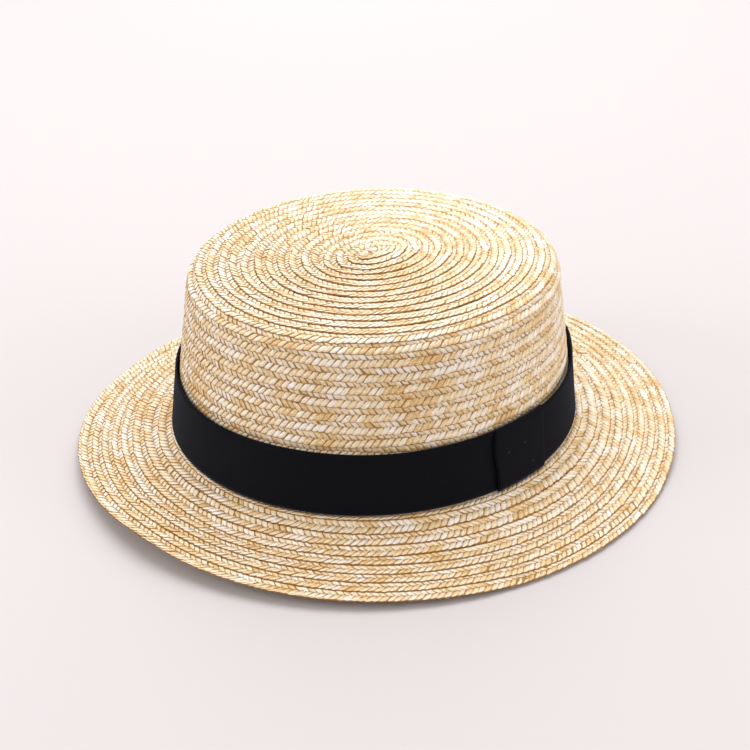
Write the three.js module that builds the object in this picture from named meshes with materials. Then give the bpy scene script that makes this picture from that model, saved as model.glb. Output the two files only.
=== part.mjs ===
// Straw boater hat at rest on its brim.
// Millimetres, +Z up, floor at z = 0, front of the hat towards -Y, wearer's left side towards +X.
import * as THREE from 'three';

// Plan oval. Every ring of the hat is the crown's foot oval, drawn in or let out by an inset.
const SEGMENTS = 72;
const OVAL_RATIO = 1.06;
const FOOT_RADIUS = 92.6;
const SEMI_LONG = (2 * FOOT_RADIUS * OVAL_RATIO) / (1 + OVAL_RATIO);
const SEMI_SHORT = SEMI_LONG / OVAL_RATIO;

// Straw shell
const STRAW_WALL = 2.0;
const GAP = 0.3;

// Crown
const CROWN_HEIGHT = 77.3;
const SHOULDER_RADIUS = 9.2;
const SIDE_TAPER = 9.0;
const TIP_DOME = 1.4;
const SIDE_STEPS = 4;
const SHOULDER_STEPS = 5;
const TIP_STEPS = 4;

// Brim. Its underside slopes from the crown's foot to the floor and is stopped by the floor,
// so the outer row lies flat wherever the lift is small.
const BRIM_REACH = 46.3;
const BRIM_UNEVEN = { widestAt: 43, extra: 1.6 };
const BRIM_FOOT = 11.5;
const EDGE_SINK = 2.0;
const SOLE_WIDTH = 5.0;
const BRIM_STEPS = 5;
const LIFT_POWER = 1.5;
const BRIM_LIFT = [
  { at: 0, lift: -1.0 },
  { at: 30, lift: 4.0 },
  { at: 60, lift: 7.6 },
  { at: 90, lift: 8.2 },
  { at: 120, lift: 5.4 },
  { at: 150, lift: 0.6 },
  { at: 180, lift: -0.6 },
  { at: 210, lift: 3.6 },
  { at: 240, lift: 7.2 },
  { at: 270, lift: 8.8 },
  { at: 300, lift: 5.6 },
  { at: 330, lift: 3.0 },
];
const RIPPLE = { at: 269, rise: 1.4, spread: 8 };

// Ribbon band. It stands off the tapered side of the crown along its top edge.
const RIBBON_WALL = 1.0;
const BAND_HEIGHT = 27.4;
const BAND_FOOT_INSET = -0.4;
const BAND_TOP_INSET = 2.7;
const BAND_STEPS = 4;
const BAND_KINK = { at: 58, rise: 1.3, spread: 8 };

// Ribbon tab over the band's join
const TAB_FROM = -13.0;
const TAB_TO = 6.5;
const TAB_ABOVE = 0.9;
const TAB_BELOW = 0.2;
const TAB_EDGE_PROUD = 0.9;
const TAB_COLUMNS = 8;
const TAB_ROWS = 6;

// Heights that follow from the sizes above
const BRIM_TOP = BRIM_FOOT + STRAW_WALL;
const CROWN_FOOT = BRIM_TOP + GAP;
const CROWN_TOP = BRIM_TOP + CROWN_HEIGHT;
const BAND_FOOT = BRIM_TOP + GAP;

const radians = (degrees) => THREE.MathUtils.degToRad(degrees);

/** Point on an oval whose half axes are share * (foot oval - inset). */
function ovalPoint(degrees, inset, height, share = 1) {
  const cosine = Math.cos(radians(degrees));
  const sine = Math.sin(radians(degrees));
  const short = share * (SEMI_SHORT - inset);
  const long = share * (SEMI_LONG - inset);
  const radius = share === 0 ? 0 : 1 / Math.hypot(cosine / short, sine / long);
  return new THREE.Vector3(radius * cosine, radius * sine, height);
}

/** Value of a closed table at an angle, by Catmull-Rom between its evenly spaced rows. */
function tableAt(rows, key, degrees) {
  const step = 360 / rows.length;
  const place = THREE.MathUtils.euclideanModulo(degrees, 360) / step;
  const first = Math.floor(place);
  const t = place - first;
  const [p0, p1, p2, p3] = [-1, 0, 1, 2].map(
    (offset) => rows[(first + offset + rows.length) % rows.length][key],
  );
  const slopeIn = (p2 - p0) / 2;
  const slopeOut = (p3 - p1) / 2;
  return (
    (2 * t ** 3 - 3 * t ** 2 + 1) * p1 +
    (t ** 3 - 2 * t ** 2 + t) * slopeIn +
    (3 * t ** 2 - 2 * t ** 3) * p2 +
    (t ** 3 - t ** 2) * slopeOut
  );
}

/** A local bulge, as high as its rise at its own angle and gone a few spreads away. */
function bulgeAt(bulge, degrees) {
  const away = THREE.MathUtils.euclideanModulo(degrees - bulge.at + 180, 360) - 180;
  return bulge.rise * Math.exp(-((away / bulge.spread) ** 2));
}

const insetPoint = (inset, height, share = 1) => (degrees) =>
  ovalPoint(degrees, inset, height, share);

/** Closed skin from a flat list of triangles given as vertex numbers. */
function meshOf(name, points, triangles, material) {
  const geometry = new THREE.BufferGeometry().setFromPoints(points);
  geometry.setIndex(triangles);
  geometry.computeVertexNormals();
  const mesh = new THREE.Mesh(geometry, material);
  mesh.name = name;
  return mesh;
}

/**
 * Sweeps a profile once round the hat. Each profile entry gives its point at an angle.
 * With closed true the last entry joins the first; otherwise both ends are poles on the axis.
 */
function sweptRing(name, profile, closed, material) {
  const points = [];
  const rings = profile.map((pointAt, row) => {
    const pole = !closed && (row === 0 || row === profile.length - 1);
    const start = points.length;
    const count = pole ? 1 : SEGMENTS;
    for (let i = 0; i < count; i += 1) {
      points.push(pointAt((360 * i) / SEGMENTS));
    }
    return (i) => start + (pole ? 0 : i % SEGMENTS);
  });
  const triangles = [];
  const spans = closed ? rings.length : rings.length - 1;
  for (let row = 0; row < spans; row += 1) {
    const here = rings[row];
    const next = rings[(row + 1) % rings.length];
    for (let i = 0; i < SEGMENTS; i += 1) {
      if (next(i) !== next(i + 1)) {
        triangles.push(here(i), next(i), next(i + 1));
      }
      if (here(i) !== here(i + 1)) {
        triangles.push(here(i), next(i + 1), here(i + 1));
      }
    }
  }
  return meshOf(name, points, triangles, material);
}

/** Curved plate between an outer and an inner face, both given over u and v from 0 to 1. */
function curvedPlate(name, columns, rows, outer, inner, material) {
  const points = [];
  for (const face of [outer, inner]) {
    for (let row = 0; row <= rows; row += 1) {
      for (let column = 0; column <= columns; column += 1) {
        points.push(face(column / columns, row / rows));
      }
    }
  }
  const faceSize = (columns + 1) * (rows + 1);
  const at = (side, column, row) => side * faceSize + row * (columns + 1) + column;
  const triangles = [];
  const quad = (a, b, c, d) => triangles.push(a, b, c, a, c, d);
  for (let row = 0; row < rows; row += 1) {
    for (let column = 0; column < columns; column += 1) {
      quad(at(0, column, row), at(0, column + 1, row), at(0, column + 1, row + 1), at(0, column, row + 1));
      quad(at(1, column, row), at(1, column, row + 1), at(1, column + 1, row + 1), at(1, column + 1, row));
    }
  }
  for (let column = 0; column < columns; column += 1) {
    quad(at(1, column, 0), at(1, column + 1, 0), at(0, column + 1, 0), at(0, column, 0));
    quad(at(0, column, rows), at(0, column + 1, rows), at(1, column + 1, rows), at(1, column, rows));
  }
  for (let row = 0; row < rows; row += 1) {
    quad(at(0, 0, row), at(0, 0, row + 1), at(1, 0, row + 1), at(1, 0, row));
    quad(at(1, columns, row), at(1, columns, row + 1), at(0, columns, row + 1), at(0, columns, row));
  }
  return meshOf(name, points, triangles, material);
}

/** Crown surface from foot to pole, drawn in everywhere by a depth measured into the wall. */
function crownSurface(depth) {
  const profile = [];
  const shoulderStart = CROWN_TOP - TIP_DOME - SHOULDER_RADIUS;
  for (let i = 0; i <= SIDE_STEPS; i += 1) {
    const t = i / SIDE_STEPS;
    const height = THREE.MathUtils.lerp(CROWN_FOOT, shoulderStart, t);
    profile.push(insetPoint(SIDE_TAPER * t + depth, height));
  }
  const arc = SHOULDER_RADIUS - depth;
  for (let i = 1; i <= SHOULDER_STEPS; i += 1) {
    const turn = (Math.PI / 2) * (i / SHOULDER_STEPS);
    const inset = SIDE_TAPER + depth + arc * (1 - Math.cos(turn));
    profile.push(insetPoint(inset, shoulderStart + arc * Math.sin(turn)));
  }
  for (let i = 1; i <= TIP_STEPS; i += 1) {
    const share = 1 - i / TIP_STEPS;
    const height = shoulderStart + arc + TIP_DOME * (1 - share ** 2);
    profile.push(insetPoint(SIDE_TAPER + SHOULDER_RADIUS, height, share));
  }
  return profile;
}

/** Height of the brim's underside at an angle, t from 0 at the crown to 1 at the edge. */
function brimUnderside(degrees, t) {
  const slope = BRIM_FOOT - (BRIM_FOOT + EDGE_SINK) * t;
  const lift = tableAt(BRIM_LIFT, 'lift', degrees) + bulgeAt(RIPPLE, degrees);
  return Math.max(0, slope + Math.max(0, lift) * t ** LIFT_POWER);
}

function brimProfile() {
  const soleStart = 1 - SOLE_WIDTH / BRIM_REACH;
  const stations = [0];
  for (let i = 1; i < BRIM_STEPS; i += 1) {
    stations.push((soleStart * i) / (BRIM_STEPS - 1));
  }
  stations.push(1);
  const station = (t, rise) => (degrees) => {
    const extra = BRIM_UNEVEN.extra * Math.cos(radians(degrees - BRIM_UNEVEN.widestAt));
    const inset = THREE.MathUtils.lerp(STRAW_WALL, -(BRIM_REACH + extra), t);
    return ovalPoint(degrees, inset, brimUnderside(degrees, t) + rise);
  };
  const top = stations.map((t) => station(t, STRAW_WALL));
  const underside = stations.map((t) => station(t, 0)).reverse();
  return [...top, ...underside];
}

/** Inset and height of the band's inner face, t from 0 at its foot to 1 at its top edge. */
function bandInset(degrees, t) {
  const standing = THREE.MathUtils.lerp(BAND_FOOT_INSET, BAND_TOP_INSET, t);
  return standing - bulgeAt(BAND_KINK, degrees) * t ** 2;
}

function bandProfile() {
  const station = (t, depth) => (degrees) =>
    ovalPoint(degrees, bandInset(degrees, t) - depth, BAND_FOOT + BAND_HEIGHT * t);
  const profile = [];
  for (let i = BAND_STEPS; i >= 0; i -= 1) {
    profile.push(station(i / BAND_STEPS, RIBBON_WALL));
  }
  for (let i = 0; i <= BAND_STEPS; i += 1) {
    profile.push(station(i / BAND_STEPS, 0));
  }
  return profile;
}

/** One face of the tab, standing off the band's outer face by a distance. */
function tabFace(distance) {
  return (u, v) => {
    const degrees = THREE.MathUtils.lerp(TAB_FROM, TAB_TO, u);
    const height = THREE.MathUtils.lerp(-TAB_BELOW, BAND_HEIGHT + TAB_ABOVE, v);
    const t = height / BAND_HEIGHT;
    const proud = TAB_EDGE_PROUD * (1 - u) ** 3;
    const inset = bandInset(degrees, t) - RIBBON_WALL - GAP - proud - distance;
    return ovalPoint(degrees, inset, BAND_FOOT + height);
  };
}

const straw = new THREE.MeshStandardMaterial({ color: '#dfc48f', roughness: 0.6, metalness: 0 });
const brimStraw = straw.clone();
const ribbon = new THREE.MeshStandardMaterial({ color: '#14161a', roughness: 0.75, metalness: 0 });
const tabRibbon = ribbon.clone();

const hat = new THREE.Group();
hat.name = 'straw_boater_hat';
const crownProfile = [...crownSurface(0).reverse(), ...crownSurface(STRAW_WALL)];
hat.add(sweptRing('crown', crownProfile, false, straw));
hat.add(sweptRing('brim', brimProfile(), true, brimStraw));
hat.add(sweptRing('hat_band', bandProfile(), true, ribbon));
hat.add(
  curvedPlate('band_tab', TAB_COLUMNS, TAB_ROWS, tabFace(RIBBON_WALL), tabFace(0), tabRibbon),
);

export default hat;
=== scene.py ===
# %% [markdown]
# # A straw boater hat
# The hat is sewn from one long flat plait of wheat straw, wound in a spiral: out across the
# tip, over the shoulder, down the side, and on again across the brim. A black grosgrain
# ribbon goes round the foot of the crown, and a flat tab of the same ribbon hides its join.
#
# Blender works in metres. The sizes below are in millimetres, because a hat maker's sizes
# are, and are turned to metres when a mesh is made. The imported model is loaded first; it
# gives the shape that everything here has to stay close to.

import math

import bmesh
import bpy
import numpy as np
from mathutils import Euler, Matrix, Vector


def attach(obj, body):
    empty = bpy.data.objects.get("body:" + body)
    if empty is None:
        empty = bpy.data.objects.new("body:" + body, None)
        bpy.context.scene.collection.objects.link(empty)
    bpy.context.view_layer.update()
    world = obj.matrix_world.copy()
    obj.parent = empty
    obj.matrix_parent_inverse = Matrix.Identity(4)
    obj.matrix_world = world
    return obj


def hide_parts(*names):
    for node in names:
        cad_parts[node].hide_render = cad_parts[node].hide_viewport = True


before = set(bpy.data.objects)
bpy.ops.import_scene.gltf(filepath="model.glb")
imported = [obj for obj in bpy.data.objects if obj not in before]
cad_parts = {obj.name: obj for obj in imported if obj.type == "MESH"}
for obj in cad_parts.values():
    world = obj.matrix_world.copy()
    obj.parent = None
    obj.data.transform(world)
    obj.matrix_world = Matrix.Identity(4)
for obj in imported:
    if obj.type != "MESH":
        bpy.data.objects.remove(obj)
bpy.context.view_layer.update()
MM = 0.001

# %% [markdown]
# ## The shape of the hat
# A boater is pressed over an oval wooden block, so its crown is an oval with a flat tip, and
# its brim is the same oval let out. It could be spun from a round profile and then stretched,
# but stretching would leave the rows of plait wider at the front than at the sides. Here
# every ring is the same oval drawn in or let out by an inset, so the rows run parallel, as
# they do on the real hat.
#
# Walking outwards from the middle of the tip, a point is known by its run (how far it has
# walked) and its angle round the hat. Two functions turn these into a place in space: one
# for the crown and one for the brim. A whole array of points goes through them in one call.

# %% Crown surface
OVAL_RATIO = 1.06
FOOT_RADIUS = 92.6
SEMI_LONG = 2 * FOOT_RADIUS * OVAL_RATIO / (1 + OVAL_RATIO)
SEMI_SHORT = SEMI_LONG / OVAL_RATIO
WALL = 2.0
CROWN_FOOT = 13.8
SHOULDER_START = 80.2
SHOULDER_RADIUS = 9.2
SIDE_TAPER = 9.0
TIP_DOME = 1.4
SMALLEST_RADIUS = 0.02

TIP_RUN = SEMI_SHORT - SIDE_TAPER - SHOULDER_RADIUS
SHOULDER_RUN = SHOULDER_RADIUS * math.pi / 2
SIDE_RUN = math.hypot(SHOULDER_START - CROWN_FOOT, SIDE_TAPER)
CROWN_RUN = TIP_RUN + SHOULDER_RUN + SIDE_RUN


def oval_point(angle, inset, height):
    """Point on the foot oval drawn in by an inset, in mm. The angle is in radians."""
    short = np.maximum(SEMI_SHORT - inset, SMALLEST_RADIUS)
    long = SEMI_LONG - inset
    radius = 1 / np.hypot(np.cos(angle) / short, np.sin(angle) / long)
    return np.stack([radius * np.cos(angle), radius * np.sin(angle), height], -1)


def crown_point(run, angle):
    """Point of the crown's outside at a run from the middle of the tip."""
    run = np.clip(run, 0.0, None)
    on_tip = np.minimum(run, TIP_RUN)
    turn = np.pi / 2 - np.clip((run - TIP_RUN) / SHOULDER_RADIUS, 0, np.pi / 2)
    down = np.maximum(run - TIP_RUN - SHOULDER_RUN, 0) / SIDE_RUN
    inset = SEMI_SHORT - on_tip - SHOULDER_RADIUS * np.cos(turn) - SIDE_TAPER * down
    height = (
        SHOULDER_START
        + SHOULDER_RADIUS * np.sin(turn)
        + TIP_DOME * (1 - (on_tip / TIP_RUN) ** 2)
        - (SHOULDER_START - CROWN_FOOT) * down
    )
    return oval_point(angle, inset, height)


print("run from tip to foot of crown (mm):", round(CROWN_RUN, 1))

# %% [markdown]
# A real brim never lies flat: it has dried with soft waves in it. Without them it would be a
# plain cone that ends EDGE_SINK below the floor. BRIM_LIFT raises its edge, with a value for
# every 30 degrees and a smooth curve through them, and where the lift is too small to clear
# the floor, the brim lies flat on it. The waves could be pushed in by hand with proportional
# editing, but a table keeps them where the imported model's brim has its own.

# %% Brim surface
BRIM_REACH = 46.3
BRIM_UNEVEN = {"widest_at": 43, "extra": 1.6}
BRIM_FOOT = 11.5
EDGE_SINK = 2.0
LIFT_POWER = 1.5
LIFT_STEP = 30
BRIM_LIFT = [-1.0, 4.0, 7.6, 8.2, 5.4, 0.6, -0.6, 3.6, 7.2, 8.8, 5.6, 3.0]
RIPPLE = {"at": 269, "rise": 1.4, "spread": 8}


def bulge_at(bulge, degrees):
    """A local rise, gone a few spreads away from its own angle."""
    away = (degrees - bulge["at"] + 180) % 360 - 180
    return bulge["rise"] * np.exp(-((away / bulge["spread"]) ** 2))


def lift_at(degrees):
    """How far the brim's edge is lifted: a smooth curve through BRIM_LIFT."""
    place = (degrees % 360) / LIFT_STEP
    first = np.floor(place).astype(int)
    t = place - first
    lifts = np.array(BRIM_LIFT)
    p0, p1, p2, p3 = (lifts[(first + k) % len(lifts)] for k in (-1, 0, 1, 2))
    slope_in, slope_out = (p2 - p0) / 2, (p3 - p1) / 2
    return (
        (2 * t**3 - 3 * t**2 + 1) * p1
        + (t**3 - 2 * t**2 + t) * slope_in
        + (3 * t**2 - 2 * t**3) * p2
        + (t**3 - t**2) * slope_out
    )


def brim_point(run, angle):
    """Point of the brim's upper face at a run outwards from the foot of the crown."""
    degrees = np.degrees(angle)
    extra = BRIM_UNEVEN["extra"] * np.cos(angle - math.radians(BRIM_UNEVEN["widest_at"]))
    t = run / BRIM_REACH
    slope = BRIM_FOOT - (BRIM_FOOT + EDGE_SINK) * np.clip(t, 0, None)
    lift = np.maximum(lift_at(degrees) + bulge_at(RIPPLE, degrees), 0)
    lift = lift * np.clip(t, 0, None) ** LIFT_POWER
    return oval_point(angle, -(run + extra * t), np.maximum(slope + lift, 0) + WALL)


# %% [markdown]
# ## The rows
# A hat maker sews one long plait to its own last turn, in a spiral. Separate rings would be
# simpler, but each would show a seam where it closes, and a spiral has none. A row's outer
# edge moves outwards by one row's width each turn round the hat, and the tables give those
# widths, from the middle outwards. Each row laps over the next one out, like roof tiles seen
# from above, so its outer edge stands proud and its inner edge is tucked under.
#
# `sew` takes points of plait laid out flat, as (along, across, up), and gives the same points
# sewn on the hat: along the plait turns into an angle, and across it into a run.

# %% Sewing plait round the hat
LAP = 1.5
OUTER_EDGE_SHARE = 0.35
THINNEST_ROW = 3.4
NEAREST_MIDDLE = 0.3
STEPS_PER_TURN = 360
CROWN_ROWS = [
    {"rows": 16, "width": 5.2, "step": 0.75},
    {"rows": 12, "width": 5.8, "step": 0.55},
]
BRIM_ROWS = [
    {"rows": 1, "width": width, "step": 0.78}
    for width in (3.0, 7.1, 6.6, 5.8, 4.6, 4.4, 4.7, 4.8, 5.3)
]
START_ANGLE = math.radians(313)
SWAY = {"waves": 6, "slowest": 2.0, "fastest": 11.0, "size": 0.15}
FACE_RISE = 0.1
HOP = 0.05
SMALL_TURN = 0.001


class Spiral:
    """One spiral of plait: where its rows are, and how long it is."""

    def __init__(self, point_at, rows, start_turn, nearest, wobble_seed):
        """Rows are a table from the middle outwards. No straw comes nearer than a run."""
        widths = [r["width"] for r in rows for _ in range(r["rows"])]
        self.point_at = point_at
        self.nearest = nearest
        self.steps = np.array([r["step"] for r in rows for _ in range(r["rows"])])
        self.edges = np.concatenate([[0], np.cumsum(widths)])
        self.turns = np.arange(
            start_turn * STEPS_PER_TURN, (len(widths) + 1) * STEPS_PER_TURN + 1
        ) / STEPS_PER_TURN
        waves = np.random.default_rng(wobble_seed)
        self.wave_count = waves.uniform(SWAY["slowest"], SWAY["fastest"], SWAY["waves"])
        self.wave_phase = waves.uniform(0, 2 * np.pi, SWAY["waves"])
        outer, width = self.row(self.turns)
        middle = point_at(np.clip(outer - width / 2, 0, self.edges[-1]), self.angle(self.turns))
        hops = np.linalg.norm(np.diff(middle, axis=0), axis=1)
        self.lengths = np.concatenate([[0], np.cumsum(hops)])
        self.length = self.lengths[-1]

    def angle(self, turn):
        """Angle round the hat, in radians, after some turns."""
        return turn * 2 * np.pi + START_ANGLE

    def row(self, turn):
        """Outer edge and width of the row at a turn. Hand sewing wanders a little."""
        whole = np.arange(len(self.edges))
        outer = np.interp(turn, whole, self.edges)
        width = outer - np.interp(turn - 1, whole, self.edges)
        sway = sum(
            np.sin(count * turn * 2 * np.pi + phase)
            for count, phase in zip(self.wave_count, self.wave_phase)
        )
        fade = np.clip(turn - 1, 0, 1) * np.clip(self.edges.size - 1 - turn, 0, 1)
        return outer + SWAY["size"] * sway * fade, np.maximum(width, THINNEST_ROW)

    def sew(self, along, across, up):
        """Flat plait points to places on the hat, all in mm. across runs inwards from the
        row's outer edge in row widths, and up is measured from about the wall's middle."""
        turn = np.interp(along, self.lengths, self.turns)
        outer, width = self.row(turn)
        run = np.maximum(outer - across * (width + LAP), self.nearest)
        angle = self.angle(turn)
        here = self.point_at(run, angle)
        outwards = self.point_at(run + HOP, angle) - self.point_at(run - HOP, angle)
        onwards = self.point_at(run, angle + SMALL_TURN) - self.point_at(run, angle - SMALL_TURN)
        normal = np.cross(outwards, onwards)
        normal /= np.maximum(np.linalg.norm(normal, axis=-1, keepdims=True), 1e-9)
        step = np.interp(turn, np.arange(self.steps.size) + 0.5, self.steps)
        tilt = step * (OUTER_EDGE_SHARE - across * (width + LAP) / width)
        rise = up + tilt - WALL / 2 + FACE_RISE
        return here + normal * rise[..., None]


crown_spiral = Spiral(crown_point, CROWN_ROWS, 0.7, NEAREST_MIDDLE, 11)
brim_spiral = Spiral(brim_point, BRIM_ROWS, 0.0, -WALL, 12)
print("plait in crown and brim (m):", round(crown_spiral.length * MM, 2),
      round(brim_spiral.length * MM, 2))

# %% [markdown]
# ## Finishes
# The depth mark and the fold mark paint shade into the colour.
# Wheat straw is a thin hard tube with a waxy skin: satin, pale cream to honey, with fine
# lines along its length. Split, flattened and plaited, each piece catches the light by
# itself. A repeating pattern of plait could be wrapped round a smooth hat, but it would look
# flat from close by, and no two straws on a real hat match. Here every straw carries its own
# marks instead, as a colour attribute: how golden it is, how deep each point lies, and how
# near it is to a fold. One material reads them.
#
# Colours are written as the sRGB hex values that a picture editor shows. One function makes
# them linear, and one adds a node.

# %% Colours and nodes
def linear(hex_colour):
    """An sRGB hex colour as the linear values that shaders use."""
    parts = [int(hex_colour[i : i + 2], 16) / 255 for i in (1, 3, 5)]
    return (*[c / 12.92 if c <= 0.04045 else ((c + 0.055) / 1.055) ** 2.4 for c in parts], 1.0)


def add_node(tree, kind, settings=None, values=None, links=None):
    """Adds a node, sets it up, and links other nodes' sockets into it."""
    node = tree.nodes.new(kind)
    for name, value in (settings or {}).items():
        setattr(node, name, value)
    for socket, value in (values or {}).items():
        node.inputs[socket].default_value = value
    for socket, source in (links or {}).items():
        tree.links.new(source, node.inputs[socket])
    return node


# A Mix node lists its sockets for every kind of value; these are the ones for colours.
MIX_FACTOR, MIX_A, MIX_B, MIX_OUT = 0, 6, 7, 2

# %% Straw colour
# Split wheat straw, sun bleached: cream along the middle of each piece, toffee where it folds
# at the plait's edge (partly painted warm shade), and brown down between the straws, painted
# shade where little light gets in. The mottling inside one straw is as fine as half a
# millimetre.
STRAW_TONES = [(0.0, "#fffaf1"), (0.3, "#faebcf"), (0.7, "#f2d8a4"), (1.0, "#e1b571")]
MOTTLE_SIZE = 0.65
MOTTLE_STRENGTH = 1.9


def straw_colour(tree, tone_mark):
    """The straw's colour before any shade: a ramp that its tone and fine mottling move."""
    place = add_node(tree, "ShaderNodeTexCoord")
    mottle = add_node(
        tree, "ShaderNodeTexNoise", values={"Scale": 1 / (MOTTLE_SIZE * MM), "Detail": 2.0},
        links={"Vector": place.outputs["Object"]},
    )
    shift = add_node(
        tree, "ShaderNodeMath", {"operation": "MULTIPLY_ADD"},
        {1: MOTTLE_STRENGTH, 2: -MOTTLE_STRENGTH / 2}, {0: mottle.outputs["Fac"]},
    )
    tone = add_node(
        tree, "ShaderNodeMath", {"operation": "ADD", "use_clamp": True},
        links={0: tone_mark, 1: shift.outputs["Value"]},
    )
    ramp = add_node(tree, "ShaderNodeValToRGB", links={"Fac": tone.outputs["Value"]})
    stops = ramp.color_ramp.elements
    while len(stops) < len(STRAW_TONES):
        stops.new(0.5)
    for stop, (position, colour) in zip(stops, STRAW_TONES):
        stop.position = position
        stop.color = linear(colour)
    return ramp.outputs["Color"]


# %% Straw fibres
# A straw's skin has close lines along it. The real ones are about a tenth of a millimetre
# apart; they are drawn a few times coarser, so that they show.
FIBRE_PITCH = 0.45
FIBRE_LENGTHENING = 0.12
STREAK_DARK, STREAK_PALE = 0.74, 1.08


def straw_fibres(tree):
    """Lines along the straw, as a height and as a factor that darkens or lightens it."""
    lay = add_node(tree, "ShaderNodeUVMap", {"uv_map": "straw_run"})
    stretch = add_node(
        tree, "ShaderNodeMapping",
        values={"Scale": (1 / FIBRE_PITCH, FIBRE_LENGTHENING / FIBRE_PITCH, 1)},
        links={"Vector": lay.outputs["UV"]},
    )
    fibres = add_node(
        tree, "ShaderNodeTexNoise", values={"Scale": 1.0, "Detail": 3.0},
        links={"Vector": stretch.outputs["Vector"]},
    )
    streak = add_node(
        tree, "ShaderNodeMapRange",
        values={"From Min": 0.3, "From Max": 0.7, "To Min": STREAK_DARK, "To Max": STREAK_PALE},
        links={"Value": fibres.outputs["Fac"]},
    )
    return fibres.outputs["Fac"], streak.outputs["Result"]


# %% Wheat straw
# The waxy skin gives a satin gloss: smoother and a little more reflective than paper.
# A toffee tint at the fold: partly the crease's own colour, partly painted warm shade.
STRAW_FOLD_SHADE = "#dca560"
# Painted shade: the brown mixed in where a point lies deep between the straws.
STRAW_PAINTED_SHADE = "#77511f"
STRAW_GLOSS = {"Roughness": 0.42, "Specular IOR Level": 0.75}
FIBRE_RELIEF = {"Strength": 0.25, "Distance": 0.04 * MM}


def wheat_straw(name):
    """The finish of every straw that shows, from its own marks."""
    material = bpy.data.materials.new(name)
    material.use_nodes = True
    tree = material.node_tree
    shader = tree.nodes["Principled BSDF"]
    for socket, value in STRAW_GLOSS.items():
        shader.inputs[socket].default_value = value
    marks = add_node(tree, "ShaderNodeAttribute", {"attribute_name": "straw_tone_and_shade"})
    split = add_node(tree, "ShaderNodeSeparateColor", links={"Color": marks.outputs["Color"]})
    colour = straw_colour(tree, split.outputs["Red"])
    height, streak = straw_fibres(tree)
    streaked = add_node(
        tree, "ShaderNodeMix", {"data_type": "RGBA", "blend_type": "MULTIPLY"},
        {MIX_FACTOR: 1.0}, {MIX_A: colour, MIX_B: streak},
    )
    # The fold mark mixes in the toffee tint, partly painted warm shade.
    fold_shaded = add_node(
        tree, "ShaderNodeMix", {"data_type": "RGBA"}, {MIX_B: linear(STRAW_FOLD_SHADE)},
        {MIX_FACTOR: split.outputs["Blue"], MIX_A: streaked.outputs[MIX_OUT]},
    )
    # The depth mark mixes in painted shade.
    shaded = add_node(
        tree, "ShaderNodeMix", {"data_type": "RGBA"}, {MIX_A: linear(STRAW_PAINTED_SHADE)},
        {MIX_FACTOR: split.outputs["Green"], MIX_B: fold_shaded.outputs[MIX_OUT]},
    )
    bump = add_node(tree, "ShaderNodeBump", values=FIBRE_RELIEF, links={"Height": height})
    tree.links.new(shaded.outputs[MIX_OUT], shader.inputs["Base Color"])
    tree.links.new(bump.outputs["Normal"], shader.inputs["Normal"])
    return material


straw = wheat_straw("split_wheat_straw")
print("nodes in the straw finish:", len(straw.node_tree.nodes))

# %% Hidden straw
# Between the two faces only the backs of straws show, in gaps a hair wide: dull, and painted
# brown for the shade in the gaps, with a coarse grain so that no gap looks like paint.
HIDDEN_SHADED_TONES = ("#8d632f", "#b08447")
HIDDEN_GRAIN = 1.5

straw_core = bpy.data.materials.new("straw_between_the_layers")
straw_core.use_nodes = True
core_tree = straw_core.node_tree
core_shader = core_tree.nodes["Principled BSDF"]
core_shader.inputs["Roughness"].default_value = 0.8
core_place = add_node(core_tree, "ShaderNodeTexCoord")
core_grain = add_node(
    core_tree, "ShaderNodeTexNoise", values={"Scale": 1 / (HIDDEN_GRAIN * MM), "Detail": 2.0},
    links={"Vector": core_place.outputs["Object"]},
)
# Painted shade: brown tones for the gaps.
core_tones = add_node(
    core_tree, "ShaderNodeMix", {"data_type": "RGBA"},
    {MIX_A: linear(HIDDEN_SHADED_TONES[0]), MIX_B: linear(HIDDEN_SHADED_TONES[1])},
    {MIX_FACTOR: core_grain.outputs["Fac"]},
)
core_tree.links.new(core_tones.outputs[MIX_OUT], core_shader.inputs["Base Color"])

# %% [markdown]
# ## One crossing of straw
# In a flat plait every straw runs slantwise from a folded edge to the middle, dives under
# the straws of the other half, and comes up again on the far side. Whole straws could be
# bent over and under each other along a curve, but most of their length would be hidden.
# What shows is one short arched length, repeated thousands of times in two halves that meet
# as a row of arrow heads, so one such length is modelled: a grid, arched across, rounded
# down at its fold and at its diving end, and closed below with a single face. It has few
# faces, because there will be so many of it. The inner faces, which are seldom seen, use a
# version with fewer still.

# %% Model one length of straw
STRAW_PITCH = 2.8
STRAW_ARCH = 0.32
FOLD_ROUND = 0.13
DIVE_TAPER = 0.4
DIVE_START = 0.7
LENGTH_STATIONS = [0.0, 0.1, 0.4, 0.85, 1.0]
STATION_HEIGHTS = [0.0, 0.8, 1.0, 0.7, -0.8]
COLUMN_PLACES = {2: [-0.5, 0.0, 0.5], 4: [-0.5, -0.43, 0.0, 0.43, 0.5]}
COLUMN_HEIGHTS = {2: [0.0, 1.0, 0.0], 4: [0.0, 0.86, 1.0, 0.86, 0.0]}


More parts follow.
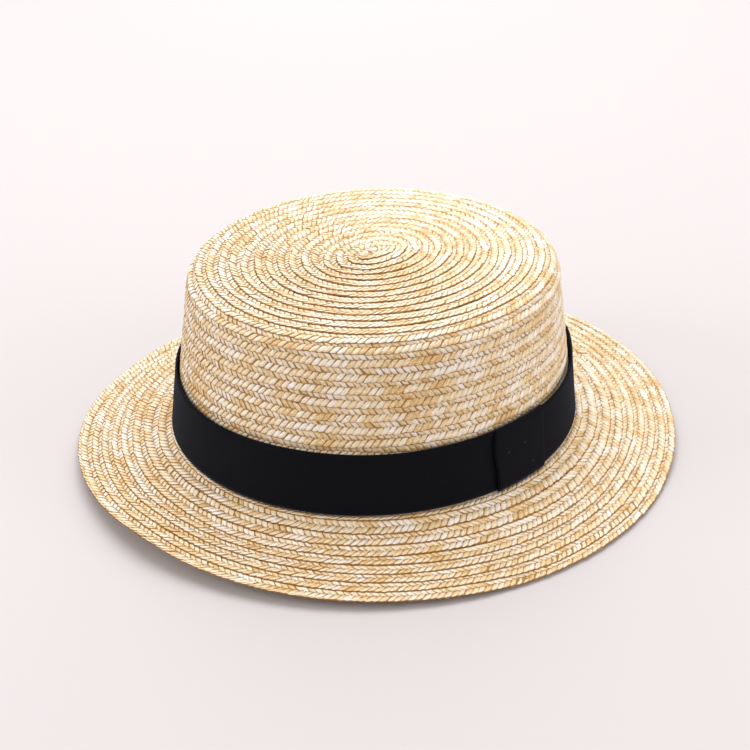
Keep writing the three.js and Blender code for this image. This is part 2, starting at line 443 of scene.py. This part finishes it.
def straw_length(columns, rows):
    """A closed, arched length of straw: x across from -0.5 to 0.5, y along from 0 to 1."""
    bm = bmesh.new()
    bmesh.ops.create_grid(bm, x_segments=columns, y_segments=rows, size=0.5)
    bmesh.ops.translate(bm, verts=bm.verts, vec=(0, 0.5, 0))
    marks = np.linspace(0, 1, len(LENGTH_STATIONS))
    even = np.linspace(-0.5, 0.5, columns + 1)
    for vert in bm.verts:
        along = np.interp(vert.co.y, marks, LENGTH_STATIONS)
        height = np.interp(along, LENGTH_STATIONS, STATION_HEIGHTS)
        place = np.interp(vert.co.x, even, COLUMN_PLACES[columns])
        arch = np.interp(vert.co.x, even, COLUMN_HEIGHTS[columns])
        along += FOLD_ROUND * (2 * place) ** 2 * (1 - along)
        place *= 1 - DIVE_TAPER * max(0.0, along - DIVE_START) / (1 - DIVE_START)
        vert.co = (place, along, height * arch if height > 0 else height)
    rim = [edge for edge in bm.edges if edge.is_boundary]
    bmesh.ops.holes_fill(bm, edges=rim, sides=0)
    bmesh.ops.recalc_face_normals(bm, faces=bm.faces)
    return bm


fine_straw = straw_length(4, 4)
plain_straw = straw_length(2, 4)
print("faces in one length of straw:", len(fine_straw.faces), "fine,",
      len(plain_straw.faces), "plain")

# %% [markdown]
# ## Copying it along the plait
# Geometry Nodes could instance the straw along a curve, but each straw here leans, dives and
# keeps a colour of its own, which is easier to say as sums on arrays. So the copies are laid
# out flat in arrays, half of them on each side of the plait's middle, with small seeded
# differences in size, place and colour. Then a whole array is sewn round the hat in one call
# and written to one mesh.
#
# First the colours. A straw keeps its colour for a few crossings, so pale and golden runs
# alternate, as they do on a real hat.

# %% Tones of the straws
PATCH_RUN = 3.0
DRIFT_RUN = 40
TONE_SHARES = {"patch": 0.3, "half": 0.3, "drift": 0.1, "straw": 0.3}
TONE_CONTRAST = 1.7


def wander(count, run, rng):
    """Random values from 0 to 1 that hold for about a run of crossings."""
    knots = rng.uniform(0, 1, int(count / run) + 3)
    return np.interp(np.arange(count) / run, np.arange(knots.size), knots)


def straw_tones(count, rng):
    """A tone for each crossing of one half and then of the other: 0 is pale, 1 is golden."""
    patch = wander(count, PATCH_RUN, rng)
    drift = wander(count, DRIFT_RUN, rng)
    halves = []
    for _ in range(2):
        half = wander(count, PATCH_RUN / 2, rng)
        straw_alone = rng.uniform(0, 1, count)
        halves.append(
            TONE_SHARES["patch"] * patch + TONE_SHARES["half"] * half
            + TONE_SHARES["drift"] * drift + TONE_SHARES["straw"] * straw_alone
        )
    tones = np.concatenate(halves)
    return np.clip((tones - 0.5) * TONE_CONTRAST + 0.5, 0, 1)


# %% Straws laid out flat
SLANT = 3.0
FILL = 1.06
DIVE_OVER = 1.09
SHINGLE = 0.26
CORE_RISE = 0.3
UNEVEN_BREADTH = (0.9, 1.06)
UNEVEN_PLACE = 0.16
UNEVEN_ACROSS = 0.022
UNEVEN_RISE = 0.045
UNEVEN_SHINGLE = (0.6, 1.4)


def lay_straws(places, reach, face, rng):
    """Copies of a length of straw along a reach of flat plait: where every point of every
    copy is along, across and up, and each copy's tone."""
    start, end = reach
    per_half = int((end - start) / STRAW_PITCH)
    first_half = start + STRAW_PITCH * np.arange(per_half)
    crossing = np.concatenate([first_half, first_half + STRAW_PITCH / 2])[:, None]
    in_second_half = np.repeat([False, True], per_half)[:, None]
    tones = straw_tones(per_half, rng)
    breadth = STRAW_PITCH * FILL * rng.uniform(*UNEVEN_BREADTH, crossing.shape)
    shift = rng.uniform(-UNEVEN_PLACE, UNEVEN_PLACE, crossing.shape)
    slip = rng.normal(0, UNEVEN_ACROSS, crossing.shape)
    rise = rng.normal(0, UNEVEN_RISE, crossing.shape)
    shingle = SHINGLE * rng.uniform(*UNEVEN_SHINGLE, crossing.shape)
    x, y, z = places.T[:, None, :]
    slant = SLANT if face == "outer" else -SLANT
    along = crossing + shift + x * breadth + y * slant
    from_own_edge = 0.5 * y * DIVE_OVER + slip
    across = np.where(in_second_half, 1 - from_own_edge, from_own_edge)
    up = STRAW_ARCH * z + rise + shingle * x
    up = up + CORE_RISE if face == "outer" else -up
    return along, across, up, tones


# %% Straws as one mesh
def straw_arrays(bm):
    """A bmesh as arrays: places, the corners of its faces, and how many each face has."""
    bm.verts.ensure_lookup_table()
    places = np.array([v.co[:] for v in bm.verts])
    corners = np.array([v.index for f in bm.faces for v in f.verts])
    sizes = np.array([len(f.verts) for f in bm.faces])
    return places, corners, sizes


def straw_mesh(name, points, corners, sizes):
    """One mesh that holds every copy. Points are in metres: a row of them for each copy."""
    count, per_straw = points.shape[:2]
    faces = np.tile(corners, count) + np.repeat(np.arange(count) * per_straw, corners.size)
    starts = np.concatenate([[0], np.cumsum(np.tile(sizes, count))[:-1]])
    mesh = bpy.data.meshes.new(name)
    mesh.vertices.add(count * per_straw)
    mesh.vertices.foreach_set("co", points.astype(np.float32).ravel())
    mesh.loops.add(faces.size)
    mesh.loops.foreach_set("vertex_index", faces.astype(np.int32))
    mesh.polygons.add(starts.size)
    mesh.polygons.foreach_set("loop_start", starts.astype(np.int32))
    mesh.polygons.foreach_set("use_smooth", np.tile(sizes == 4, count))
    mesh.update(calc_edges=True)
    return mesh


def write_uv(mesh, name, flat):
    """Writes a flat place for every vertex of a mesh as a UV map."""
    corner = np.zeros(len(mesh.loops), np.int32)
    mesh.loops.foreach_get("vertex_index", corner)
    layer = mesh.uv_layers.new(name=name)
    layer.data.foreach_set("uv", flat[corner].astype(np.float32).ravel())


# %% Marks that the straw finish reads
# Painted shade: the arched middle of a straw is left in full light and its rim is painted
# deep, but part way along it the rim lies against its neighbour and is never painted quite dark.
DEPTH_FADE = 1.25
FLANK_FROM, FLANK_TO = 0.12, 0.9
FLANK_LIGHT = {"outer": 0.5, "inner": 0.75}
# How far in from the fold, and how strongly, the tint of painted warm shade goes.
FOLD_SHADE_REACH = 0.25
FOLD_SHADE_TINT = (0.1, 0.9)
FIBRE_SHEET = 40
UV_LENGTHENING = 1.4


def mark_straws(mesh, places, tones, face, rng):
    """Writes each straw's tone, its painted shade by depth and at the fold, and its own place
    on a sheet of fibres.
    """
    x, y, z = places.T[:, None, :]
    count = tones.size
    # How deep a point lies sets its painted shade.
    depth = np.clip(np.repeat(z, count, 0) * DEPTH_FADE, 0, 1)
    on_flank = (y > FLANK_FROM) & (y < FLANK_TO)
    depth = np.where(on_flank, np.maximum(depth, FLANK_LIGHT[face]), depth)
    # Near the folded edge the toffee tint goes in, partly painted warm shade.
    fold_shade = np.clip(1 - y / FOLD_SHADE_REACH, 0, 1) * rng.uniform(*FOLD_SHADE_TINT, (count, 1))
    tone = np.repeat(tones[:, None], len(places), 1)
    paint = np.stack([tone, depth, fold_shade, np.ones_like(tone)], -1)
    marks = mesh.color_attributes.new("straw_tone_and_shade", "FLOAT_COLOR", "POINT")
    marks.data.foreach_set("color", paint.astype(np.float32).ravel())
    own_place = rng.uniform(0, FIBRE_SHEET, (count, 2))
    lay_x = x * STRAW_PITCH + own_place[:, :1]
    lay_y = y * SLANT * UV_LENGTHENING + own_place[:, 1:]
    write_uv(mesh, "straw_run", np.stack([lay_x, lay_y], -1).reshape(-1, 2))


# %% A stretch of plait
def upright(mesh):
    """Turns every closed island of the mesh the right way out."""
    bm = bmesh.new()
    bm.from_mesh(mesh)
    bmesh.ops.recalc_face_normals(bm, faces=bm.faces)
    bm.to_mesh(mesh)
    bm.free()


def add_piece(name, mesh, material):
    """The mesh as an object of the scene, with its finish."""
    piece = bpy.data.objects.new(name, mesh)
    bpy.context.collection.objects.link(piece)
    mesh.materials.append(material)
    print(name, "triangles:", sum(len(p.vertices) - 2 for p in mesh.polygons))
    return piece


def plait(name, spiral, bm, reach, seed, face="outer"):
    """The straws of one face of a stretch of plait, sewn on. The reach is in mm of plait."""
    rng = np.random.default_rng(seed)
    places, corners, sizes = straw_arrays(bm)
    along, across, up, tones = lay_straws(places, reach, face, rng)
    points = spiral.sew(along.ravel(), across.ravel(), up.ravel()) * MM
    mesh = straw_mesh(name, points.reshape(*along.shape, 3), corners, sizes)
    mark_straws(mesh, places, tones, face, rng)
    upright(mesh)
    return add_piece(name, mesh, straw)


# %% [markdown]
# ## The plait of the crown and the brim
# The crown and the brim could each be one mesh, but a mesh of so many straws would be slow to
# work with, so each is made in stretches: tip and side, brim and brim's edge. The same
# spirals serve the inner faces, where the straws hang below the middle of the plait. The
# outer straws of the side stop a little below the ribbon's top edge, since it hides the rest.

# %% Outer and inner faces
UNDER_BAND = 22
BRIM_MIDDLE = 24


def length_at_run(spiral, run):
    """How much plait is used up when a row's outer edge has come out to a run."""
    turn = np.interp(run, spiral.edges, np.arange(spiral.edges.size))
    return float(np.interp(turn, spiral.turns, spiral.lengths))


crown_end, brim_end = crown_spiral.length, brim_spiral.length
shoulder = length_at_run(crown_spiral, TIP_RUN + SHOULDER_RUN)
under_band = length_at_run(crown_spiral, CROWN_RUN - UNDER_BAND)
brim_middle = length_at_run(brim_spiral, BRIM_MIDDLE)

tip_plait = plait("tip_plait", crown_spiral, fine_straw, (0, shoulder), 1)
side_plait = plait("side_plait", crown_spiral, fine_straw, (shoulder, under_band), 2)
brim_plait = plait("brim_plait", brim_spiral, fine_straw, (0, brim_middle), 3)
brim_edge_plait = plait("brim_edge_plait", brim_spiral, fine_straw, (brim_middle, brim_end), 4)
tip_inside_plait = plait(
    "tip_inside_plait", crown_spiral, plain_straw, (0, shoulder), 5, "inner"
)
side_inside_plait = plait(
    "side_inside_plait", crown_spiral, plain_straw, (shoulder, crown_end), 8, "inner"
)
brim_underside_plait = plait(
    "brim_underside_plait", brim_spiral, plain_straw, (0, brim_end), 6, "inner"
)

# %% [markdown]
# ## The first end of the plait
# The spiral can't close over its own middle, so on the real hat the first end of the plait
# is turned back and tucked under it. The spiral could be wound tighter instead, but straws
# that tight would cut into each other. So a short straight length of the same plait lies
# just below the inner turns. Its own `sew` keeps it straight.

# %% The tucked-in start
START_LENGTH = 17.0
START_WIDTH = 6.4
START_BELOW_TOP = 1.75
START_HEIGHT = SHOULDER_START + SHOULDER_RADIUS + TIP_DOME - START_BELOW_TOP


class StraightRun:
    """A straight length of plait along the hat's long axis, at one height."""

    def sew(self, along, across, up):
        """Flat plait points to places under the middle of the tip, all in mm."""
        return np.stack(
            [(0.5 - across) * START_WIDTH, along - START_LENGTH / 2, START_HEIGHT + up], -1
        )


plait_start = plait("plait_start", StraightRun(), fine_straw, (0, START_LENGTH), 7)

# %% [markdown]
# ## What lies between the two faces
# The straws of a plait pass over and under each other in several layers, so no light comes
# through. Every layer could be built of straws, but only gaps a hair wide show them. So the
# hidden layers are one thin closed strip along the plait's middle: a long flat grid, given a
# thickness while it is still flat, then sewn round the hat like the straws.

# %% Middle layer of the plait
CORE_STEP = 4.0
CORE_WALL = 0.5
CORE_UNDER = 0.12
CORE_FROM, CORE_TO = 0.04, 0.97


def plait_core(name, spiral):
    """The strip inside a whole spiral of plait."""
    bm = bmesh.new()
    bmesh.ops.create_grid(bm, x_segments=int(spiral.length / CORE_STEP), y_segments=2, size=0.5)
    bmesh.ops.solidify(bm, geom=bm.verts[:] + bm.edges[:] + bm.faces[:], thickness=CORE_WALL)
    mesh = bpy.data.meshes.new(name)
    bm.to_mesh(mesh)
    bm.free()
    flat = np.zeros(len(mesh.vertices) * 3, np.float32)
    mesh.vertices.foreach_get("co", flat)
    x, y, z = flat.reshape(-1, 3).astype(float).T
    across = CORE_FROM + (CORE_TO - CORE_FROM) * (0.5 - y)
    lift = z - z.min() - CORE_UNDER
    points = spiral.sew((x + 0.5) * spiral.length, across, lift) * MM
    mesh.vertices.foreach_set("co", points.astype(np.float32).ravel())
    upright(mesh)
    return add_piece(name, mesh, straw_core)


crown_core = plait_core("crown_core", crown_spiral)
brim_core = plait_core("brim_core", brim_spiral)

# %% [markdown]
# ## The ribbon
# Grosgrain is woven with thick cords across it, so it has close upright ribs and a firm
# woven edge. It is pulled round the foot of the crown. The crown tapers and a straight
# ribbon doesn't, so its top edge stands a little off the straw. The ribs could be left to a
# bump map, but they show against the straw along the ribbon's edges, so they are real. The
# ribbon is laid out flat as a grid with two columns to a rib, given its thickness, and bent
# round the crown. Its two ends meet under the tab.

# %% Ribbon band
BAND_FOOT = 13.8
BAND_HEIGHT = 27.4
BAND_FOOT_INSET = -0.4
BAND_TOP_INSET = 2.7
BAND_KINK = {"at": 58, "rise": 1.3, "spread": 8}
BAND_OUTSIDE = 1.0
RIBBON_WALL = 0.6
RIB_PITCH = 1.05
RIB_DEPTH = 0.2
EDGE_CORD = 0.12
TOP_WAVE = 0.25
RIBBON_ROWS = 12
RIBBON_STAND_OFF = 0.3
SELVEDGE = 0.02


def ribbon_point(degrees, height, outward):
    """A place on the ribbon: angle round the hat, height above its foot, and how far out."""
    t = height / BAND_HEIGHT
    wave = TOP_WAVE * (np.sin(np.radians(3 * degrees)) + np.sin(np.radians(7 * degrees + 40)))
    standing = bulge_at(BAND_KINK, degrees) + wave
    inset = BAND_FOOT_INSET + (BAND_TOP_INSET - BAND_FOOT_INSET) * t - standing * t**2
    return oval_point(np.radians(degrees), inset - outward, BAND_FOOT + height)


def flat_strip(columns, rows, wall):
    """A closed flat strip: a mesh, and its x and y from 0 to 1 and z from -wall to 0."""
    bm = bmesh.new()
    bmesh.ops.create_grid(bm, x_segments=columns, y_segments=rows, size=0.5)
    bmesh.ops.translate(bm, verts=bm.verts, vec=(0.5, 0.5, 0))
    bmesh.ops.solidify(bm, geom=bm.verts[:] + bm.edges[:] + bm.faces[:], thickness=wall)
    mesh = bpy.data.meshes.new("flat_strip")
    bm.to_mesh(mesh)
    bm.free()
    flat = np.zeros(len(mesh.vertices) * 3, np.float32)
    mesh.vertices.foreach_get("co", flat)
    x, y, z = flat.reshape(-1, 3).astype(float).T
    return mesh, x, y, z - z.max()


def rib_relief(x, columns):
    """Ribs stand out on every second column of the strip."""
    return RIB_DEPTH * (np.round(x * columns) % 2)


oval_length = 2 * math.pi * (FOOT_RADIUS + RIBBON_STAND_OFF)
ribs = int(oval_length / RIB_PITCH)
band_mesh, x, y, z = flat_strip(2 * ribs, RIBBON_ROWS, RIBBON_WALL)
write_uv(band_mesh, "ribbon_weave", np.stack([x * ribs * RIB_PITCH, y * BAND_HEIGHT], -1))
edge_cord = EDGE_CORD * (np.minimum(y, 1 - y) < SELVEDGE)
outward = BAND_OUTSIDE - RIB_DEPTH + z + np.where(z > -RIBBON_WALL / 2, 1, 0) * (
    rib_relief(x, 2 * ribs) + edge_cord
)
points = ribbon_point(x * 360, y * BAND_HEIGHT, outward) * MM
band_mesh.vertices.foreach_set("co", points.astype(np.float32).ravel())
band_mesh.polygons.foreach_set("use_smooth", [True] * len(band_mesh.polygons))
upright(band_mesh)
print("ribs round the band:", ribs)

# %% Black grosgrain
# Dyed black cotton and rayon: nearly no gloss, a faint blue-grey bloom where the eye meets
# it edge on, and fine weft threads running along the ribbon between the ribs. The rib tops are
# painted lighter and the grooves darker: painted light and shade.
# Painted shade in the grooves and painted light on the rib tops.
GROSGRAIN_SHADED_GROOVE = "#03040a"
GROSGRAIN_LIT_RIB = "#0e1119"
GROSGRAIN_BLOOM = "#a3b2dd"
WEFT_PITCH = 0.4
# A Wave texture repeats every 0.314 units at a scale of 1.
WAVE_PERIOD = 0.314


def grosgrain(name):
    """The finish of the band and the tab, in millimetres of flat ribbon."""
    material = bpy.data.materials.new(name)
    material.use_nodes = True
    tree = material.node_tree
    shader = tree.nodes["Principled BSDF"]
    shader.inputs["Roughness"].default_value = 0.72
    shader.inputs["Specular IOR Level"].default_value = 0.1
    shader.inputs["Sheen Weight"].default_value = 0.1
    shader.inputs["Sheen Roughness"].default_value = 0.3
    shader.inputs["Sheen Tint"].default_value = linear(GROSGRAIN_BLOOM)
    lay = add_node(tree, "ShaderNodeUVMap", {"uv_map": "ribbon_weave"})
    ribs_across = add_node(
        tree, "ShaderNodeTexWave", {"wave_type": "BANDS", "bands_direction": "X"},
        {"Scale": WAVE_PERIOD / RIB_PITCH, "Distortion": 0.4, "Detail": 1.0},
        {"Vector": lay.outputs["UV"]},
    )
    weft = add_node(
        tree, "ShaderNodeTexWave", {"wave_type": "BANDS", "bands_direction": "Y"},
        {"Scale": WAVE_PERIOD / WEFT_PITCH, "Distortion": 0.8, "Detail": 1.0},
        {"Vector": lay.outputs["UV"]},
    )
    wear = add_node(
        tree, "ShaderNodeTexNoise", values={"Scale": 0.5, "Detail": 5.0},
        links={"Vector": lay.outputs["UV"]},
    )
    # Painted light and shade across the ribs, varied by the noise.
    lit = add_node(
        tree, "ShaderNodeMath", {"operation": "MULTIPLY"},
        links={0: ribs_across.outputs["Fac"], 1: wear.outputs["Fac"]},
    )
    tones = add_node(
        tree, "ShaderNodeMix", {"data_type": "RGBA"},
        {MIX_A: linear(GROSGRAIN_SHADED_GROOVE), MIX_B: linear(GROSGRAIN_LIT_RIB)},
        {MIX_FACTOR: lit.outputs["Value"]},
    )
    bump = add_node(
        tree, "ShaderNodeBump", values={"Strength": 0.5, "Distance": 0.1 * MM},
        links={"Height": weft.outputs["Fac"]},
    )
    tree.links.new(tones.outputs[MIX_OUT], shader.inputs["Base Color"])
    tree.links.new(bump.outputs["Normal"], shader.inputs["Normal"])
    return material


black_grosgrain = grosgrain("black_grosgrain")
hat_ribbon = add_piece("hat_ribbon", band_mesh, black_grosgrain)

# %% [markdown]
# ## The tab
# Where a bow would be on a dressier hat, this one has a flat tab: a short length of the same
# ribbon, wrapped round the band so that its top and bottom edges turn in over it. Its front
# side is not sewn down, so it stands off and throws a thin shadow. Cloth simulation could
# fold it, but the turned edges are small and firm, so powers of the distance from the tab's
# middle shape them: nearly nothing over most of it, and a quick turn in at the edge.

# %% Ribbon tab
TAB_FROM, TAB_TO = -13.0, 6.5
TAB_ABOVE, TAB_BELOW = 0.9, 0.2
TAB_EDGE_PROUD = 0.9
TAB_WALL = 0.9
TAB_OUTSIDE = 2.3
TAB_TURN_IN = {"depth": 0.8, "power": 16}
TAB_SIDE_TURN = {"depth": 0.35, "power": 30}
TAB_EDGE_WAVE = 0.3
TAB_SWAY = 0.35
TAB_SWAY_PHASE = 0.6
TAB_SLIP = 0.6
TAB_ROWS = 16

tab_arc = math.radians(TAB_TO - TAB_FROM) * (SEMI_SHORT + TAB_OUTSIDE)
tab_ribs = int(tab_arc / RIB_PITCH)
tab_mesh, x, y, z = flat_strip(2 * tab_ribs, TAB_ROWS, TAB_WALL)
write_uv(tab_mesh, "ribbon_weave", np.stack([x * tab_ribs * RIB_PITCH, y * BAND_HEIGHT], -1))
turn_in = TAB_TURN_IN["depth"] * np.abs(2 * y - 1) ** TAB_TURN_IN["power"]
side_turn = TAB_SIDE_TURN["depth"] * np.abs(2 * x - 1) ** TAB_SIDE_TURN["power"]
proud = TAB_EDGE_PROUD * (1 - x) ** 3 * (1 + TAB_EDGE_WAVE * np.sin(2 * np.pi * y))
outward = TAB_OUTSIDE - RIB_DEPTH + z + proud - turn_in - side_turn
outward = outward + np.where(z > -TAB_WALL / 2, rib_relief(x, 2 * tab_ribs), 0)
sway = TAB_SWAY * (1 - x) * np.sin(2 * np.pi * y + TAB_SWAY_PHASE)
height = -TAB_BELOW + (BAND_HEIGHT + TAB_ABOVE + TAB_BELOW) * y
height = height - TAB_SLIP * x * (1 - y)
points = ribbon_point(TAB_FROM + (TAB_TO - TAB_FROM) * x + sway, height, outward) * MM
tab_mesh.vertices.foreach_set("co", points.astype(np.float32).ravel())
tab_mesh.polygons.foreach_set("use_smooth", [True] * len(tab_mesh.polygons))
upright(tab_mesh)
ribbon_tab = add_piece("ribbon_tab", tab_mesh, black_grosgrain)

# %% [markdown]
# ## The stitches
# Three tiny stitches hold the tab down. They could be lengths of thread that go in and out,
# but each has pulled into the ribbon, so only its rounded back shows: one short bead.

# %% Stitches through the tab
# Waxed thread is black but shinier than the ribbon, with a fine twist.
STITCHES = [
    {"degrees": -9.0, "height": 16.5, "lean": 40},
    {"degrees": -2.5, "height": 17.2, "lean": -15},
    {"degrees": 0.5, "height": 6.2, "lean": 20},
]
STITCH_LENGTH = 1.3
THREAD_WIDTH = 0.42
THREAD_GREY = "#24262c"
THREAD_TWIST = 0.3

waxed_thread = bpy.data.materials.new("waxed_black_thread")
waxed_thread.use_nodes = True
thread_tree = waxed_thread.node_tree
thread_shader = thread_tree.nodes["Principled BSDF"]
thread_shader.inputs["Roughness"].default_value = 0.45
thread_place = add_node(thread_tree, "ShaderNodeTexCoord")
thread_twist = add_node(
    thread_tree, "ShaderNodeTexWave", {"wave_type": "BANDS", "bands_direction": "DIAGONAL"},
    {"Scale": WAVE_PERIOD / (THREAD_TWIST * MM)}, {"Vector": thread_place.outputs["Object"]},
)
thread_tones = add_node(
    thread_tree, "ShaderNodeMix", {"data_type": "RGBA"},
    {MIX_A: linear(GROSGRAIN_LIT_RIB), MIX_B: linear(THREAD_GREY)},
    {MIX_FACTOR: thread_twist.outputs["Fac"]},
)
thread_tree.links.new(thread_tones.outputs[MIX_OUT], thread_shader.inputs["Base Color"])

bm = bmesh.new()
for stitch in STITCHES:
    sphere = bmesh.ops.create_uvsphere(bm, u_segments=10, v_segments=6, radius=0.5)
    lean = math.radians(stitch["lean"])
    for vert in sphere["verts"]:
        along, over, out = vert.co.x * STITCH_LENGTH, vert.co.y, vert.co.z
        sideways = along * math.cos(lean) - over * THREAD_WIDTH * math.sin(lean)
        upward = along * math.sin(lean) + over * THREAD_WIDTH * math.cos(lean)
        degrees = stitch["degrees"] + math.degrees(sideways / SEMI_SHORT)
        share = (degrees - TAB_FROM) / (TAB_TO - TAB_FROM)
        off = TAB_OUTSIDE + TAB_EDGE_PROUD * (1 - share) ** 3 + out * THREAD_WIDTH
        place = ribbon_point(np.array(degrees), np.array(stitch["height"] + upward), off)
        vert.co = place * MM
stitch_mesh = bpy.data.meshes.new("tab_stitches")
bm.to_mesh(stitch_mesh)
bm.free()
upright(stitch_mesh)
tab_stitches = add_piece("tab_stitches", stitch_mesh, waxed_thread)

# %% [markdown]
# ## What rides on what
# Nothing on this hat moves against the rest, so every piece rides on the one body. The
# plaited pieces stand for the two smooth shells of the imported model, and the ribbons for
# theirs, so the imported shapes need not be drawn. The ribbons are cloth.

for piece in (
    tip_plait, side_plait, plait_start, tip_inside_plait, side_inside_plait, crown_core
):
    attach(piece, "root")
    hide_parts("crown")
for piece in (brim_plait, brim_edge_plait, brim_underside_plait, brim_core):
    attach(piece, "root")
    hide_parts("brim")
for piece, node in (
    (hat_ribbon, "hat_band"), (ribbon_tab, "band_tab"), (tab_stitches, "band_tab")
):
    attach(piece, "root")
    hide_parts(node)

# %% [markdown]
# ## The floor, the light and the camera
# The hat lies on a pale floor that runs back out of sight. A curved backdrop would do as
# well, but from this height the floor alone fills the view. A broad soft light hangs above
# and a little behind the hat, so the tip is bright and each row's outer edge, seen from the
# front, is in shade. A weaker panel behind makes the waxy straws glint, two panels at the
# sides brighten the crown's side, and a pale sky fills the rest.

# %% Floor
FLOOR_COLOUR = "#c9c5c5"
FLOOR_REACH = 6.0

bm = bmesh.new()
bmesh.ops.create_grid(bm, x_segments=1, y_segments=1, size=FLOOR_REACH)
floor_mesh = bpy.data.meshes.new("floor")
bm.to_mesh(floor_mesh)
bm.free()
floor = bpy.data.objects.new("floor", floor_mesh)
bpy.context.collection.objects.link(floor)
matt_paper = bpy.data.materials.new("pale_matt_paper")
matt_paper.use_nodes = True
matt_shader = matt_paper.node_tree.nodes["Principled BSDF"]
matt_shader.inputs["Base Color"].default_value = linear(FLOOR_COLOUR)
matt_shader.inputs["Roughness"].default_value = 0.9
matt_shader.inputs["Specular IOR Level"].default_value = 0.1
floor_mesh.materials.append(matt_paper)

# %% Lights
# Each light's turn is from the camera's side of the hat, in degrees.
CAMERA_AZIMUTH = math.radians(43)
SKY_COLOUR = "#fff8f8"
SKY_STRENGTH = 0.77
LIGHTS = [
    {"name": "overhead", "size": 1.6, "power": 20.5, "turn": 184, "rise": 72, "far": 1.7},
    {"name": "back_panel", "size": 1.2, "power": 7, "turn": 180, "rise": 30, "far": 1.7},
    {"name": "left_panel", "size": 0.9, "power": 6.8, "turn": -75, "rise": 25, "far": 1.6},
    {"name": "right_panel", "size": 0.9, "power": 5.2, "turn": 70, "rise": 25, "far": 1.6},
]
for light in LIGHTS:
    data = bpy.data.lights.new(light["name"], "AREA")
    data.shape = "DISK"
    data.size = light["size"]
    data.energy = light["power"]
    lamp = bpy.data.objects.new(light["name"], data)
    turn = CAMERA_AZIMUTH + math.radians(light["turn"])
    rise = math.radians(light["rise"])
    away = Vector((math.sin(turn) * math.cos(rise), -math.cos(turn) * math.cos(rise),
                   math.sin(rise)))
    lamp.location = away * light["far"]
    lamp.rotation_euler = (-away).to_track_quat("-Z", "Y").to_euler()
    bpy.context.collection.objects.link(lamp)

sky = bpy.data.worlds.new("studio_sky")
bpy.context.scene.world = sky
sky.use_nodes = True
sky_light = sky.node_tree.nodes["Background"]
sky_light.inputs["Color"].default_value = linear(SKY_COLOUR)
sky_light.inputs["Strength"].default_value = SKY_STRENGTH
bpy.context.scene.view_settings.view_transform = "Standard"

# %% Camera
CAMERA_DISTANCE = 0.6957
CAMERA_RISE = math.radians(30.4)
CAMERA_ROLL = math.radians(-0.3)
CAMERA_LENS = 71.24
CAMERA_TARGET = Vector((0, 0, 0.0135))
CAMERA_AIM = Vector((-0.0042, 0.0045, 0.0241))
back = Vector((
    math.sin(CAMERA_AZIMUTH) * math.cos(CAMERA_RISE),
    -math.cos(CAMERA_AZIMUTH) * math.cos(CAMERA_RISE),
    math.sin(CAMERA_RISE),
))
camera_data = bpy.data.cameras.new("camera")
camera_data.lens = CAMERA_LENS
camera = bpy.data.objects.new("camera", camera_data)
camera.location = CAMERA_TARGET + back * CAMERA_DISTANCE
aim = (CAMERA_AIM - camera.location).to_track_quat("-Z", "Y")
camera.rotation_euler = (aim.to_matrix() @ Euler((0, 0, CAMERA_ROLL)).to_matrix()).to_euler()
bpy.context.collection.objects.link(camera)
bpy.context.scene.camera = camera
